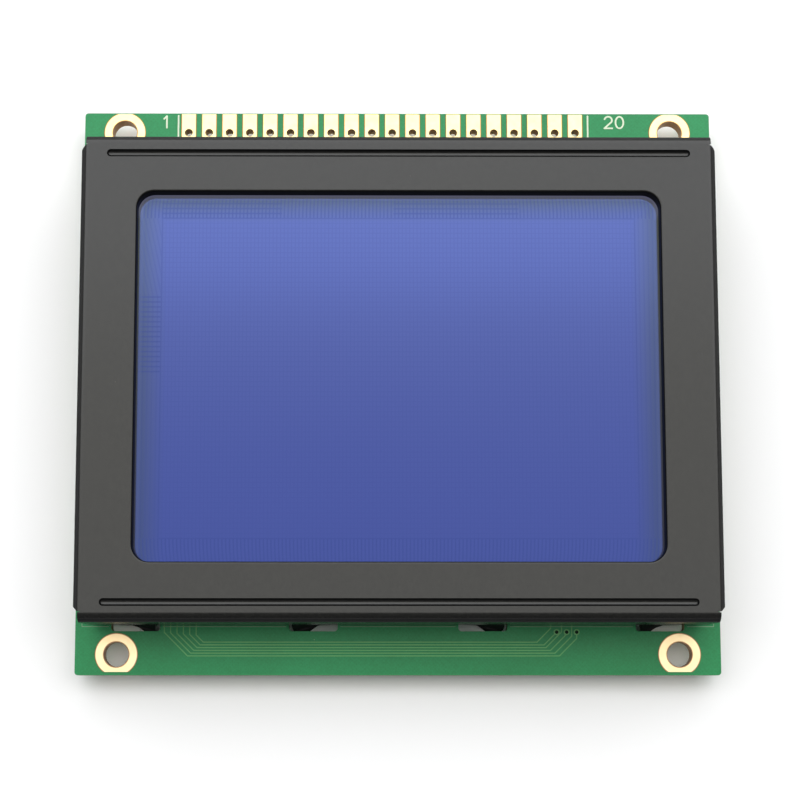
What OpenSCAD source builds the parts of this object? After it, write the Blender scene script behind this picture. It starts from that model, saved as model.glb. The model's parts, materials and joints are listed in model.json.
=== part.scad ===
// Graphic dot-matrix LCD module, lying on its back with the display facing up.
// X runs along the pin row, Y towards the pin row, Z out of the display. Millimetres.
// The window drives the outline: border, bezel, board margin and board follow from it.

/* [Bezel] */
// Width of the display window
window_w = 62; // [56:0.5:68]
// Height of the display window
window_h = 44; // [40:0.5:50]
// Corner radius of the display window
window_corner_r = 2; // [1:0.1:3.5]
// Bezel border left and right of the window
border_x = 6.8; // [6.4:0.1:9]
// Bezel border above and below the window
border_y = 7; // [6.6:0.1:9]
// Thickness of the bezel's sheet steel
sheet_t = 0.5; // [0.4:0.05:0.7]
// Outer radius of the folds between the front face and the walls
fold_r = 1.1; // [0.9:0.1:1.6]
// Depth of the lip folded in around the window, from the front face
lip_depth = 1.5; // [1.2:0.1:2.5]
// Rounding of the window's front edge
lip_edge_r = 0.25; // [0.1:0.05:0.35]
// How far the long walls stop short of the bezel's corner
long_wall_gap = 0.65; // [0.5:0.05:2]
// How far the short walls stop short of the bezel's corner
short_wall_gap = 1.25; // [1.2:0.05:3]
// Mitre at the ends of the short walls, measured along the wall
wall_mitre = 0.6; // [0.2:0.05:1]
// Rounding of the walls' lower corners
wall_corner_r = 2; // [0.5:0.1:3]
// Gap between the walls' lower edge and the board
wall_gap = 0.1; // [0.05:0.05:0.3]

/* [Stiffening grooves] */
// Width of the pressed groove
groove_w = 0.9; // [0.6:0.1:1.4]
// Depth of the pressed groove
groove_depth = 0.35; // [0.2:0.05:0.4]
// Distance of the groove's centre line from the bezel's long edge
groove_inset_y = 2.3; // [2.1:0.1:3]
// Distance of the groove's end from the bezel's short edge
groove_inset_x = 3.15; // [2:0.05:8]

/* [Twist tabs] */
// Width of a tab
tab_w = 5.1; // [3:0.1:6.5]
// How far the tabs reach behind the board
tab_drop = 2; // [1.8:0.1:3]
// Height of the slits that free the tab's root from the wall
tab_root_h = 1.2; // [0.6:0.1:2]
// Width of the slits beside the tab's root
tab_slit_w = 0.5; // [0.3:0.1:1]
// Angle of the tab where it passes through the board
tab_neck_turn = 14; // [5:1:20]
// Angle of the tab at its tip
tab_tip_turn = 38; // [22:1:60]
// Distance of the inner tabs from the middle
tab_inner_x = 10.25; // [6:0.25:16]
// Distance of the outer tabs from the bezel's short edge
tab_outer_inset = 6.1; // [5:0.1:10]
// Clearance of a tab in its slot
tab_slot_gap = 0.09; // [0.05:0.01:0.3]
// Extra length of the slot at each end of the tab
tab_slot_end = 0.4; // [0.1:0.1:1]
// Corner radius of the slots
slot_corner_r = 0.4; // [0.1:0.1:0.8]

/* [Board] */
// Board margin beside the bezel, left and right
margin_x = 1.2; // [0.6:0.1:5]
// Board margin above and below the bezel
margin_y = 6; // [5.5:0.1:10]
// Thickness of the board
board_t = 1.6; // [1:0.1:2.4]
// Corner radius of the board
board_corner_r = 0.4; // [0.3:0.1:2]
// Thickness of the gold-plated copper
copper_t = 0.05; // [0.03:0.01:0.1]
// Distance of the copper from the board's upper edge
copper_gap_top = 0.12; // [0.05:0.01:0.5]
// Distance of the copper from the board's lower edge
copper_gap_bottom = 0.4; // [0.05:0.05:0.6]

/* [Mounting holes] */
// Diameter of a mounting hole
mount_hole_d = 3; // [2.2:0.1:3.4]
// Width of the gold ring around a mounting hole
mount_ring_w = 1.1; // [0.6:0.1:1.2]
// Distance of the mounting holes from the board's short edges
mount_inset_x = 5; // [4:0.1:6]
// Distance of the mounting holes from the board's long edges
mount_inset_y = 2.5; // [2.2:0.1:3]

/* [Pin row] */
// Number of pins
pin_count = 20; // [16:1:20]
// Distance between pins
pin_pitch = 2.54; // [2.4:0.02:2.6]
// Diameter of a pin hole
pin_hole_d = 1; // [0.8:0.05:1.2]
// Width of a pin's pad
pin_pad_w = 1.9; // [1.5:0.1:2.1]
// Length of a pin's pad
pin_pad_l = 4.4; // [3.8:0.1:4.6]
// Distance of the pin holes from the board's upper edge
pin_inset = 2.5; // [1.8:0.1:2.6]
// Offset of the middle of the row from the middle of the board
pin_row_x = -1.92; // [-4:0.02:4]

/* [Display cell] */
// Thickness of each glass plate
glass_t = 1.1; // [0.7:0.1:1.4]
// Thickness of each polarizer film
polarizer_t = 0.2; // [0.15:0.05:0.4]
// Thickness of the seal between the plates
seal_t = 0.06; // [0.04:0.01:0.12]
// Width of the seal
seal_w = 1.2; // [0.8:0.1:2]
// Distance of the seal from the rear plate's edge
seal_inset = 0.8; // [0.3:0.1:1.5]
// Gap between the front plate's edge and the bezel's walls
glass_gap = 0.8; // [0.5:0.1:1.2]
// Width of the contact ledges of the front plate
ledge_w = 3.4; // [3:0.1:4]
// Step between the front and the rear plate at the short edges
side_step = 0.5; // [0.2:0.1:1]
// How far the front polarizer reaches under the bezel's border
polarizer_lap = 2; // [1:0.1:2.5]

/* [Connector strips] */
// Width of an elastomer strip
strip_w = 2; // [1.6:0.1:2.2]
// Distance of the strip's ends from the front plate's short edge
strip_end_inset = 3.5; // [2:0.1:6]

/* [Backlight] */
// Thickness of the tray's floor
tray_floor_t = 1.2; // [0.8:0.1:2]
// How far the tray reaches past the rear plate
tray_lip = 0.3; // [0.1:0.05:0.4]
// Width of the seat for the rear plate on the tray's rim
tray_seat_w = 0.8; // [0.5:0.1:1.2]
// Thickness of the reflector sheet
reflector_t = 0.2; // [0.1:0.05:0.4]
// Thickness of the light guide
guide_t = 3.2; // [2.6:0.1:4]
// Thickness of the diffuser sheet
diffuser_t = 0.24; // [0.1:0.02:0.4]
// Gap between the sheets and the tray's walls
sheet_gap = 0.2; // [0.1:0.05:0.4]
// Number of light-emitting diodes
led_count = 8; // [4:1:10]
// Depth, width and height of a diode
led_size = [1, 2.8, 2];
// Thickness of the diode board
led_board_t = 0.8; // [0.6:0.1:1.2]
// Gap between the diodes and the light guide
led_gap = 0.1; // [0.05:0.05:0.4]
// Thickness of a backlight lead
lead_w = 0.6; // [0.4:0.05:0.7]
// Distance of each backlight lead from the middle of the board
lead_y = 6; // [3:0.5:16]
// Length of a lead along the diode board
lead_lap = 1.8; // [1:0.1:2.4]
// How far the leads reach behind the board
lead_drop = 1; // [0.6:0.1:1.6]
// Diameter of the holes for the leads
lead_hole_d = 1.1; // [1.05:0.05:1.4]
// Diameter of a solder joint
solder_d = 2; // [1.6:0.1:2.6]
// Height of a solder joint
solder_h = 0.7; // [0.4:0.05:0.9]

/* [Rear components] */
// Diameter of a driver's resin dome
dome_d = 15; // [10:0.5:18]
// Height of a driver's resin dome
dome_h = 1.5; // [1:0.1:1.7]
// Distance of the segment drivers from the middle of the board
segment_dome_x = 18; // [12:0.5:22]
// Position of the segment drivers towards the pin row
segment_dome_y = 3; // [-2:0.5:5]
// Distance of the common driver below the middle of the board
common_dome_y = 11; // [8:0.5:14]
// Width of a small-outline package between its legs
chip_w = 3.9; // [3.5:0.1:4.4]
// Height of a small-outline package
chip_h = 1.4; // [1.2:0.1:1.6]
// How far the package's sides lean in from the legs to its top and bottom
chip_draft = 0.12; // [0.05:0.01:0.25]
// Diameter of the dimple that marks the first leg
chip_mark_d = 0.8; // [0.5:0.05:1]
// Depth of that dimple
chip_mark_depth = 0.1; // [0.05:0.01:0.15]
// Distance of the dimple's centre from the package's sides
chip_mark_inset = 0.9; // [0.8:0.05:1.2]
// Gap between a small-outline package and the board
chip_gap = 0.12; // [0.05:0.01:0.2]
// Distance between the legs of a small-outline package
leg_pitch = 1.27; // [1:0.01:1.27]
// Width of a leg
leg_w = 0.42; // [0.3:0.02:0.5]
// Thickness of a leg
leg_t = 0.2; // [0.15:0.01:0.25]
// How far the legs reach out from the package
leg_reach = 1.05; // [0.8:0.05:1.4]
// Length of a leg's foot on the board
leg_foot = 0.5; // [0.3:0.05:0.55]
// Legs on each side of the bias amplifier
amplifier_legs_per_side = 7; // [4:1:8]
// Distance of the bias amplifier from the board's upper edge
amplifier_inset_y = 18; // [15:0.5:20]
// Legs on each side of the voltage converter
converter_legs_per_side = 4; // [3:1:4]
// Distance of the voltage converter from the board's right edge
converter_inset_x = 16; // [13:0.5:20]
// Distance of the voltage converter from the board's upper edge
converter_inset_y = 16; // [13:0.5:18]
// Number of chip resistors
resistor_count = 9; // [4:1:11]
// Length, width and height of a chip resistor
resistor_size = [1.25, 2, 0.5];
// Distance of the resistor row from the board's lower edge
resistor_inset_y = 12; // [9:0.5:12.5]
// Number of chip capacitors
capacitor_count = 6; // [3:1:7]
// Length, width and height of a chip capacitor
capacitor_size = [1.25, 2, 0.9];
// Distance of the middle of the capacitor row from the board's left edge
capacitor_inset_x = 17; // [14:0.5:20]
// Distance of the capacitor row from the board's upper edge
capacitor_inset_y = 16; // [13:0.5:18]
// Distance between neighbouring chips in a row
chip_pitch = 3; // [2.6:0.1:3.4]
// Length of the tinned end caps
chip_end_l = 0.38; // [0.25:0.01:0.5]
// How far the end caps stand proud of the body between them
chip_end_step = 0.04; // [0.02:0.01:0.08]

/* [Hidden] */
$fn = 64;
// Overlap of a cutting shape past the face that it cuts
cut = 0.1;

// Plan sizes, from the window outwards
bezel_w = window_w + 2 * border_x;
bezel_h = window_h + 2 * border_y;
board_w = bezel_w + 2 * margin_x;
board_h = bezel_h + 2 * margin_y;
long_wall_l = bezel_w - 2 * long_wall_gap;
short_wall_l = bezel_h - 2 * short_wall_gap;

// Plan sizes of the cell and of the backlight, from the bezel inwards
front_glass_w = bezel_w - 2 * (sheet_t + glass_gap);
front_glass_h = bezel_h - 2 * (sheet_t + glass_gap);
rear_glass_w = front_glass_w - 2 * side_step;
rear_glass_h = front_glass_h - 2 * ledge_w;
strip_y = (front_glass_h - ledge_w) / 2;
strip_l = front_glass_w - 2 * strip_end_inset;
tray_w = rear_glass_w + 2 * tray_lip;
tray_h = rear_glass_h + 2 * tray_lip;
bay_w = rear_glass_w - 2 * tray_seat_w;
bay_h = rear_glass_h - 2 * tray_seat_w;
film_w = bay_w - 2 * sheet_gap;
film_h = bay_h - 2 * sheet_gap;

// The backlight's leads, diode board and diodes stand in a row at the bay's right end
lead_x = bay_w / 2 - sheet_gap - lead_w / 2;
led_board_x = lead_x - lead_w / 2 - led_board_t;
led_face_x = led_board_x - led_size.x;
guide_right_x = led_face_x - led_gap;
guide_left_x = -film_w / 2;

// Levels, from the tips of the tabs upwards
board_back_z = tab_drop;
board_front_z = board_back_z + board_t;
reflector_z = board_front_z + tray_floor_t;
guide_z = reflector_z + reflector_t;
diffuser_z = guide_z + guide_t;
rear_polarizer_z = diffuser_z + diffuser_t;
rear_glass_z = rear_polarizer_z + polarizer_t;
seal_z = rear_glass_z + glass_t;
front_glass_z = seal_z + seal_t;
front_polarizer_z = front_glass_z + glass_t;
lip_z = front_polarizer_z + polarizer_t;
face_z = lip_z + lip_depth;
wall_z = board_front_z + wall_gap;

// Grooves are circular in section
groove_r = (pow(groove_w / 2, 2) + pow(groove_depth, 2)) / (2 * groove_depth);
groove_z = face_z + groove_r - groove_depth;
groove_y = bezel_h / 2 - groove_inset_y;
groove_l = bezel_w - 2 * groove_inset_x - groove_w;

// Each long wall has four tabs, and each tab turns the other way from its neighbour
tab_y = bezel_h / 2 - sheet_t / 2;
tab_outer_x = bezel_w / 2 - tab_outer_inset;
tab_places = [[-tab_outer_x, -1], [-tab_inner_x, 1], [tab_inner_x, -1], [tab_outer_x, 1]];
tab_slices = 5;
tab_segments = 4;
slot_w = tab_w * sin(tab_neck_turn) + sheet_t * cos(tab_neck_turn) + 2 * tab_slot_gap;
slot_l = tab_w + 2 * tab_slot_end;

mount_x = board_w / 2 - mount_inset_x;
mount_y = board_h / 2 - mount_inset_y;
mount_ring_d = mount_hole_d + 2 * mount_ring_w;
pin_y = board_h / 2 - pin_inset;
pin_pad_top = pin_inset - copper_gap_top;
barrel_h = board_t + 2 * copper_t;
dome_sphere_r = (pow(dome_d / 2, 2) + pow(dome_h, 2)) / (2 * dome_h);
dome_fn = 360;
amplifier_at = [0, board_h / 2 - amplifier_inset_y];
converter_at = [board_w / 2 - converter_inset_x, board_h / 2 - converter_inset_y];
resistor_at = [0, resistor_inset_y - board_h / 2];
capacitor_at = [capacitor_inset_x - board_w / 2, board_h / 2 - capacitor_inset_y];

// Shared shapes

module rounded_rect(w, h, r) {
    square([w - 2 * r, h], center = true);
    square([w, h - 2 * r], center = true);
    for (x = [-1, 1], y = [-1, 1])
        translate([x * (w / 2 - r), y * (h / 2 - r)]) circle(r);
}

module plate(w, h, t, z) {
    translate([0, 0, z]) linear_extrude(t) square([w, h], center = true);
}

module both_long_sides() {
    children();
    mirror([0, 1, 0]) children();
}

module both_short_sides() {
    children();
    mirror([1, 0, 0]) children();
}

// Stands its children on the board's rear face, pointing away from the board
module on_back(at) {
    translate([at.x, at.y, board_back_z]) mirror([0, 0, 1]) children();
}

module at_mounts() {
    for (x = [-1, 1], y = [-1, 1])
        translate([x * mount_x, y * mount_y, 0]) children();
}

module at_pins() {
    for (i = [0 : pin_count - 1])
        translate([pin_row_x + (i - (pin_count - 1) / 2) * pin_pitch, pin_y, 0]) children();
}

module at_leads() {
    for (y = [-1, 1])
        translate([lead_x, y * lead_y, 0]) children();
}

// Printed circuit board

module through_board(d) {
    translate([0, 0, board_back_z - cut]) cylinder(d = d, h = board_t + 2 * cut);
}

module tab_slots() {
    both_long_sides()
        for (place = tab_places)
            translate([place.x, -tab_y, board_back_z - cut])
                linear_extrude(board_t + 2 * cut) rounded_rect(slot_l, slot_w, slot_corner_r);
}

module circuit_board() {
    color("#3fa56c") difference() {
        translate([0, 0, board_back_z])
            linear_extrude(board_t) rounded_rect(board_w, board_h, board_corner_r);
        at_mounts() through_board(mount_hole_d + 2 * copper_t);
        at_pins() through_board(pin_hole_d + 2 * copper_t);
        at_leads() through_board(lead_hole_d);
        tab_slots();
    }
}

// A plated hole: a barrel through the board, with its pad on the front and on the back
module plated_hole(hole_d) {
    translate([0, 0, board_back_z - copper_t]) difference() {
        union() {
            linear_extrude(copper_t) children();
            cylinder(d = hole_d + 2 * copper_t, h = barrel_h);
            translate([0, 0, barrel_h - copper_t]) linear_extrude(copper_t) children();
        }
        translate([0, 0, -cut]) cylinder(d = hole_d, h = barrel_h + 2 * cut);
    }
}

// The ring is cut straight where it would pass the board's edge
module mount_ring(gap) {
    intersection() {
        circle(d = mount_ring_d);
        translate([-mount_ring_d / 2, -mount_ring_d / 2])
            square([mount_ring_d, mount_ring_d / 2 + mount_inset_y - gap]);
    }
}

module mount_pads() {
    color("#f3d98c") both_short_sides() {
        translate([mount_x, mount_y, 0]) plated_hole(mount_hole_d) mount_ring(copper_gap_top);
        translate([mount_x, -mount_y, 0])
            plated_hole(mount_hole_d) mirror([0, 1]) mount_ring(copper_gap_bottom);
    }
}

module header_pads() {
    color("#f3d98c") at_pins() plated_hole(pin_hole_d)
        translate([-pin_pad_w / 2, pin_pad_top - pin_pad_l]) square([pin_pad_w, pin_pad_l]);
}

// Bezel: one stamped and folded sheet

module face_outline() {
    fold_x = bezel_w / 2 - fold_r;
    fold_y = bezel_h / 2 - fold_r;
    wall_x = long_wall_l / 2;
    wall_y = short_wall_l / 2;
    polygon([[fold_x, -wall_y], [fold_x, wall_y], [wall_x, fold_y], [-wall_x, fold_y],
        [-fold_x, wall_y], [-fold_x, -wall_y], [-wall_x, -fold_y], [wall_x, -fold_y]]);
}

// Section of a fold: the sheet turns from the face, on the left, down into the wall
module fold_section() {
    intersection() {
        difference() {
            circle(fold_r);
            circle(fold_r - sheet_t);
        }
        square(fold_r);
    }
}

// A wall seen from outside, with its upper edge at the fold and rounded lower corners
module wall_outline(l) {
    h = face_z - fold_r - wall_z;
    translate([-l / 2, wall_corner_r]) square([l, h - wall_corner_r]);
    translate([-l / 2 + wall_corner_r, 0]) square([l - 2 * wall_corner_r, h]);
    for (x = [-1, 1])
        translate([x * (l / 2 - wall_corner_r), wall_corner_r]) circle(wall_corner_r);
}

module folded_wall(l, edge) {
    translate([0, edge - fold_r, face_z - fold_r])
        rotate([90, 0, 90]) linear_extrude(l, center = true) fold_section();
    translate([0, edge, wall_z])
        rotate([90, 0, 0]) linear_extrude(sheet_t) difference() {
            wall_outline(l);
            children();
        }
}

// A wall whose ends are mitred from outside, so that they lead round the bezel's corners
module mitred_wall(l, edge) {
    end = l / 2 + cut;
    start = edge - wall_mitre - cut;
    tip = l / 2 - wall_mitre - cut;
    intersection() {
        folded_wall(l, edge);
        linear_extrude(face_z + cut)
            polygon([[-end, 0], [end, 0], [end, start], [tip, edge + cut], [-tip, edge + cut], [-end, start]]);
    }
}

// Room in the wall's lower edge for the tabs' roots
module root_notches() {
    for (place = tab_places)
        translate([place.x - tab_w / 2 - tab_slit_w, -cut])
            square([tab_w + 2 * tab_slit_w, tab_root_h + cut]);
}

module turned_strip(z, h, low_turn, high_turn) {
    translate([0, 0, z]) rotate(low_turn)
        linear_extrude(h, twist = low_turn - high_turn, slices = tab_slices, segments = tab_segments)
            square([tab_w, sheet_t], center = true);
}

// A tab turns at its root, passes the board straight and turns on behind it
module twist_tab(way) {
    neck = way * tab_neck_turn;
    tip = way * tab_tip_turn;
    turned_strip(wall_z, tab_root_h, neck, 0);
    translate([0, 0, board_back_z]) rotate(neck)
        linear_extrude(board_t + wall_gap) square([tab_w, sheet_t], center = true);
    turned_strip(0, tab_drop, tip, neck);
}

// Section of what the rounding takes off the window's front edge
module edge_waste() {
    difference() {
        translate([-cut, -lip_edge_r]) square(lip_edge_r + cut);
        translate([lip_edge_r, -lip_edge_r]) circle(lip_edge_r);
    }
}

module rounded_window_edge() {
    straight_x = window_w - 2 * window_corner_r;
    straight_y = window_h - 2 * window_corner_r;
    both_long_sides()
        translate([0, window_h / 2, face_z])
            rotate([90, 0, 90]) linear_extrude(straight_x, center = true) edge_waste();
    both_short_sides() {
        translate([window_w / 2, 0, face_z])
            rotate([90, 0, 0]) linear_extrude(straight_y, center = true) edge_waste();
        both_long_sides()
            translate([straight_x / 2, straight_y / 2, face_z])
                rotate_extrude(angle = 90) translate([window_corner_r, 0]) edge_waste();
    }
}

module groove_rod(r) {
    translate([0, groove_y, groove_z]) {
        rotate([0, 90, 0]) cylinder(r = r, h = groove_l, center = true);
        for (x = [-1, 1])
            translate([x * groove_l / 2, 0, 0]) sphere(r);
    }
}

// The sheet pressed out behind a groove
module groove_back() {
    intersection() {
        groove_rod(groove_r + sheet_t);
        translate([0, groove_y, face_z - sheet_t])
            cube([bezel_w, 4 * groove_w, sheet_t], center = true);
    }
}

module window_lip() {
    translate([0, 0, lip_z]) linear_extrude(lip_depth - sheet_t / 2)
        rounded_rect(window_w + 2 * sheet_t, window_h + 2 * sheet_t, window_corner_r + sheet_t);
}

module front_bezel() {
    color("#4c4b48") difference() {
        union() {
            translate([0, 0, face_z - sheet_t]) linear_extrude(sheet_t) face_outline();
            window_lip();
            both_long_sides() {
                folded_wall(long_wall_l, bezel_h / 2) root_notches();
                groove_back();
                for (place = tab_places)
                    translate([place.x, tab_y, 0]) twist_tab(-place.y);
            }
            for (turn = [-90, 90])
                rotate(turn) mitred_wall(short_wall_l, bezel_w / 2);
        }
        translate([0, 0, lip_z - cut]) linear_extrude(lip_depth + 2 * cut)
            rounded_rect(window_w, window_h, window_corner_r);
        rounded_window_edge();
        both_long_sides() groove_rod(groove_r);
    }
}

// Display cell

module front_polarizer() {
    color("#5b6bb4")
        plate(window_w + 2 * polarizer_lap, window_h + 2 * polarizer_lap, polarizer_t, front_polarizer_z);
}

module front_glass() {
    color("#9fb4c8") plate(front_glass_w, front_glass_h, glass_t, front_glass_z);
}

module cell_seal() {
    seal_outer_w = rear_glass_w - 2 * seal_inset;
    seal_outer_h = rear_glass_h - 2 * seal_inset;
    color("#d8d4c0") translate([0, 0, seal_z]) linear_extrude(seal_t) difference() {
        square([seal_outer_w, seal_outer_h], center = true);
        square([seal_outer_w - 2 * seal_w, seal_outer_h - 2 * seal_w], center = true);
    }
}

module rear_glass() {
    color("#9fb4c8") plate(rear_glass_w, rear_glass_h, glass_t, rear_glass_z);
}

module rear_polarizer() {
    color("#4355a8") plate(film_w, film_h, polarizer_t, rear_polarizer_z);
}

module zebra_strip() {
    translate([-strip_l / 2, strip_y - strip_w / 2, board_front_z])
        cube([strip_l, strip_w, front_glass_z - board_front_z]);
}

module zebra_strip_top() {
    color("#3a3a3c") zebra_strip();
}

module zebra_strip_bottom() {
    color("#3a3a3c") mirror([0, 1, 0]) zebra_strip();
}

// Backlight

module backlight_tray() {
    color("#efefea") difference() {
        plate(tray_w, tray_h, rear_glass_z - board_front_z, board_front_z);
        plate(bay_w, bay_h, rear_glass_z - reflector_z + cut, reflector_z);
        at_leads() translate([0, 0, board_front_z - cut])
            cylinder(d = lead_hole_d, h = tray_floor_t + 2 * cut);
    }
}

module diffuser_sheet() {
    color("#f4f4f0") plate(film_w, film_h, diffuser_t, diffuser_z);
}

module guide_plate(z, t) {
    translate([guide_left_x, -film_h / 2, z]) cube([guide_right_x - guide_left_x, film_h, t]);
}

module light_guide() {
    color("#dfe9ee") guide_plate(guide_z, guide_t);
}

module reflector_sheet() {
    color("#fafafa") guide_plate(reflector_z, reflector_t);
}

module led_board() {
    color("#e8e4d4") translate([led_board_x, -film_h / 2, reflector_z])
        cube([led_board_t, film_h, diffuser_z - reflector_z]);
}

module backlight_leds() {
    step = film_h / led_count;
    color("#fff6c8")
        for (i = [0 : led_count - 1])
            translate([led_face_x, (i - (led_count - 1) / 2) * step - led_size.y / 2,
                guide_z + (guide_t - led_size.z) / 2])
                cube(led_size);
}

module backlight_leads() {
    bottom_z = board_back_z - lead_drop;
    color("#c9ccce") at_leads()
        translate([-lead_w / 2, -lead_w / 2, bottom_z])
            cube([lead_w, lead_w, reflector_z + lead_lap - bottom_z]);
}

module lead_solder() {
    color("#d2d6d8")
        for (y = [-1, 1])
            on_back([lead_x, y * lead_y]) difference() {
                cylinder(d1 = solder_d, d2 = lead_hole_d, h = solder_h);
                translate([0, 0, -cut]) linear_extrude(solder_h + 2 * cut) square(lead_w, center = true);
            }
}

// Rear components

// Half section of a resin dome: a flat cap of a large sphere
module dome_section() {
    intersection() {
        translate([0, dome_h - dome_sphere_r]) circle(dome_sphere_r, $fn = dome_fn);
        square([dome_d, dome_h]);
    }
}

module driver_dome(at) {
    color("#1b1b1d") on_back(at) rotate_extrude() dome_section();
}

module segment_driver_left() {
    driver_dome([-segment_dome_x, segment_dome_y]);
}

module segment_driver_right() {
    driver_dome([segment_dome_x, segment_dome_y]);
}

module common_driver() {
    driver_dome([0, -common_dome_y]);
}

// Section of a moulded package: it is widest where its legs come out and leans in above and below
module chip_section(w) {
    flat = w / 2 - chip_draft;
    low = (chip_h - leg_t) / 2;
    high = (chip_h + leg_t) / 2;
    polygon([[-flat, 0], [flat, 0], [w / 2, low], [w / 2, high],
        [flat, chip_h], [-flat, chip_h], [-w / 2, high], [-w / 2, low]]);
}

module chip_body(at, legs) {
    l = legs * leg_pitch;
    color("#26262a") on_back(at) translate([0, 0, chip_gap]) difference() {
        intersection() {
            rotate([90, 0, 0]) linear_extrude(chip_w + 2 * cut, center = true) chip_section(l);
            rotate([90, 0, 90]) linear_extrude(l + 2 * cut, center = true) chip_section(chip_w);
        }
        translate([chip_mark_inset - l / 2, chip_mark_inset - chip_w / 2, chip_h - chip_mark_depth])
            cylinder(d = chip_mark_d, h = chip_mark_depth + cut);
    }
}

// Section of a gull-wing leg: shoulder at half the package's height, then down to a foot
module leg_section() {
    shoulder_z = chip_gap + (chip_h + leg_t) / 2;
    knee = leg_reach - leg_foot;
    polygon([[0, shoulder_z - leg_t], [knee - leg_t, shoulder_z - leg_t], [knee - leg_t, 0], [leg_reach, 0],
        [leg_reach, leg_t], [knee, leg_t], [knee, shoulder_z], [0, shoulder_z]]);
}

module chip_legs(at, legs) {
    color("#c9ccce") on_back(at) both_long_sides()
        for (i = [0 : legs - 1])
            translate([(i - (legs - 1) / 2) * leg_pitch, chip_w / 2, 0])
                rotate([90, 0, 90]) linear_extrude(leg_w, center = true) leg_section();
}

module amplifier_body() {
    chip_body(amplifier_at, amplifier_legs_per_side);
}

module amplifier_legs() {
    chip_legs(amplifier_at, amplifier_legs_per_side);
}

module converter_body() {
    chip_body(converter_at, converter_legs_per_side);
}

module converter_legs() {
    chip_legs(converter_at, converter_legs_per_side);
}

// A row of chips, each a body between two end caps that stand a little proud of it
module chip_row(at, count, size) {
    body = [size.x - 2 * chip_end_step, size.y - 2 * chip_end_l, size.z - 2 * chip_end_step];
    for (i = [0 : count - 1])
        on_back([at.x + (i - (count - 1) / 2) * chip_pitch, at.y])
            translate([0, 0, size.z / 2]) {
                cube(body, center = true);
                for (y = [-1, 1])
                    translate([0, y * (size.y - chip_end_l) / 2, 0])
                        cube([size.x, chip_end_l, size.z], center = true);
            }
}

module chip_resistors() {
    color("#2a2a2c") chip_row(resistor_at, resistor_count, resistor_size);
}

module chip_capacitors() {
    color("#b99a72") chip_row(capacitor_at, capacitor_count, capacitor_size);
}

circuit_board();
mount_pads();
header_pads();
front_bezel();
front_polarizer();
front_glass();
cell_seal();
rear_glass();
rear_polarizer();
zebra_strip_top();
zebra_strip_bottom();
backlight_tray();
diffuser_sheet();
light_guide();
reflector_sheet();
led_board();
backlight_leds();
backlight_leads();
lead_solder();
segment_driver_left();
segment_driver_right();
common_driver();
amplifier_body();
amplifier_legs();
converter_body();
converter_legs();
chip_resistors();
chip_capacitors();
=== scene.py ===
# Looks of the graphic display module: finishes, tracks and prints on its board, studio and camera
import json
import math

import bpy
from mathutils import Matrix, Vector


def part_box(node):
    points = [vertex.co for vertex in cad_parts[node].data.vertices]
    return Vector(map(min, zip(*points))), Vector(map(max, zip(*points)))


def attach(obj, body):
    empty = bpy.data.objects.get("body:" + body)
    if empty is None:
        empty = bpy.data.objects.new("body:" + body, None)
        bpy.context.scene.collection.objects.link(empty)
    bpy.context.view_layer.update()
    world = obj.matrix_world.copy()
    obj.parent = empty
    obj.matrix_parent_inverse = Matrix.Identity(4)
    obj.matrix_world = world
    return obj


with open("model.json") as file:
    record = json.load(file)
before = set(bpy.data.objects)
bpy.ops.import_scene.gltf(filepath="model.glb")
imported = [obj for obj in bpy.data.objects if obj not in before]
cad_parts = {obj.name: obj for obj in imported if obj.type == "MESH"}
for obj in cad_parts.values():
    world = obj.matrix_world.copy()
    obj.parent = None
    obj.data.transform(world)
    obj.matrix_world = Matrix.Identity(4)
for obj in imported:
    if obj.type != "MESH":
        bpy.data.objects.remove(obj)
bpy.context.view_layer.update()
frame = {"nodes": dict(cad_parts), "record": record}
nodes = frame["nodes"]
mm = 0.001  # the settings below are in millimetres, Blender works in metres
noLight = (0.0, 0.0, 0.0, 1.0)
print("frame loaded,", len(nodes), "nodes")


def srgb(red, green, blue):  # a colour as a screen shows it, 0 to 255, made linear for the shaders
    def linear(value):
        share = value / 255
        return share / 12.92 if share <= 0.04045 else ((share + 0.055) / 1.055) ** 2.4
    return linear(red), linear(green), linear(blue), 1.0


def spanOf(node):  # lowest and highest corner of a node, in millimetres
    low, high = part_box(node)
    return [value / mm for value in low], [value / mm for value in high]


def middleOf(node):
    low, high = spanOf(node)
    return (low[0] + high[0]) / 2, (low[1] + high[1]) / 2


boardBack, boardTop = [corner[2] for corner in spanOf("circuit_board")]
filmHigh = spanOf("front_polarizer")[1]


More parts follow.
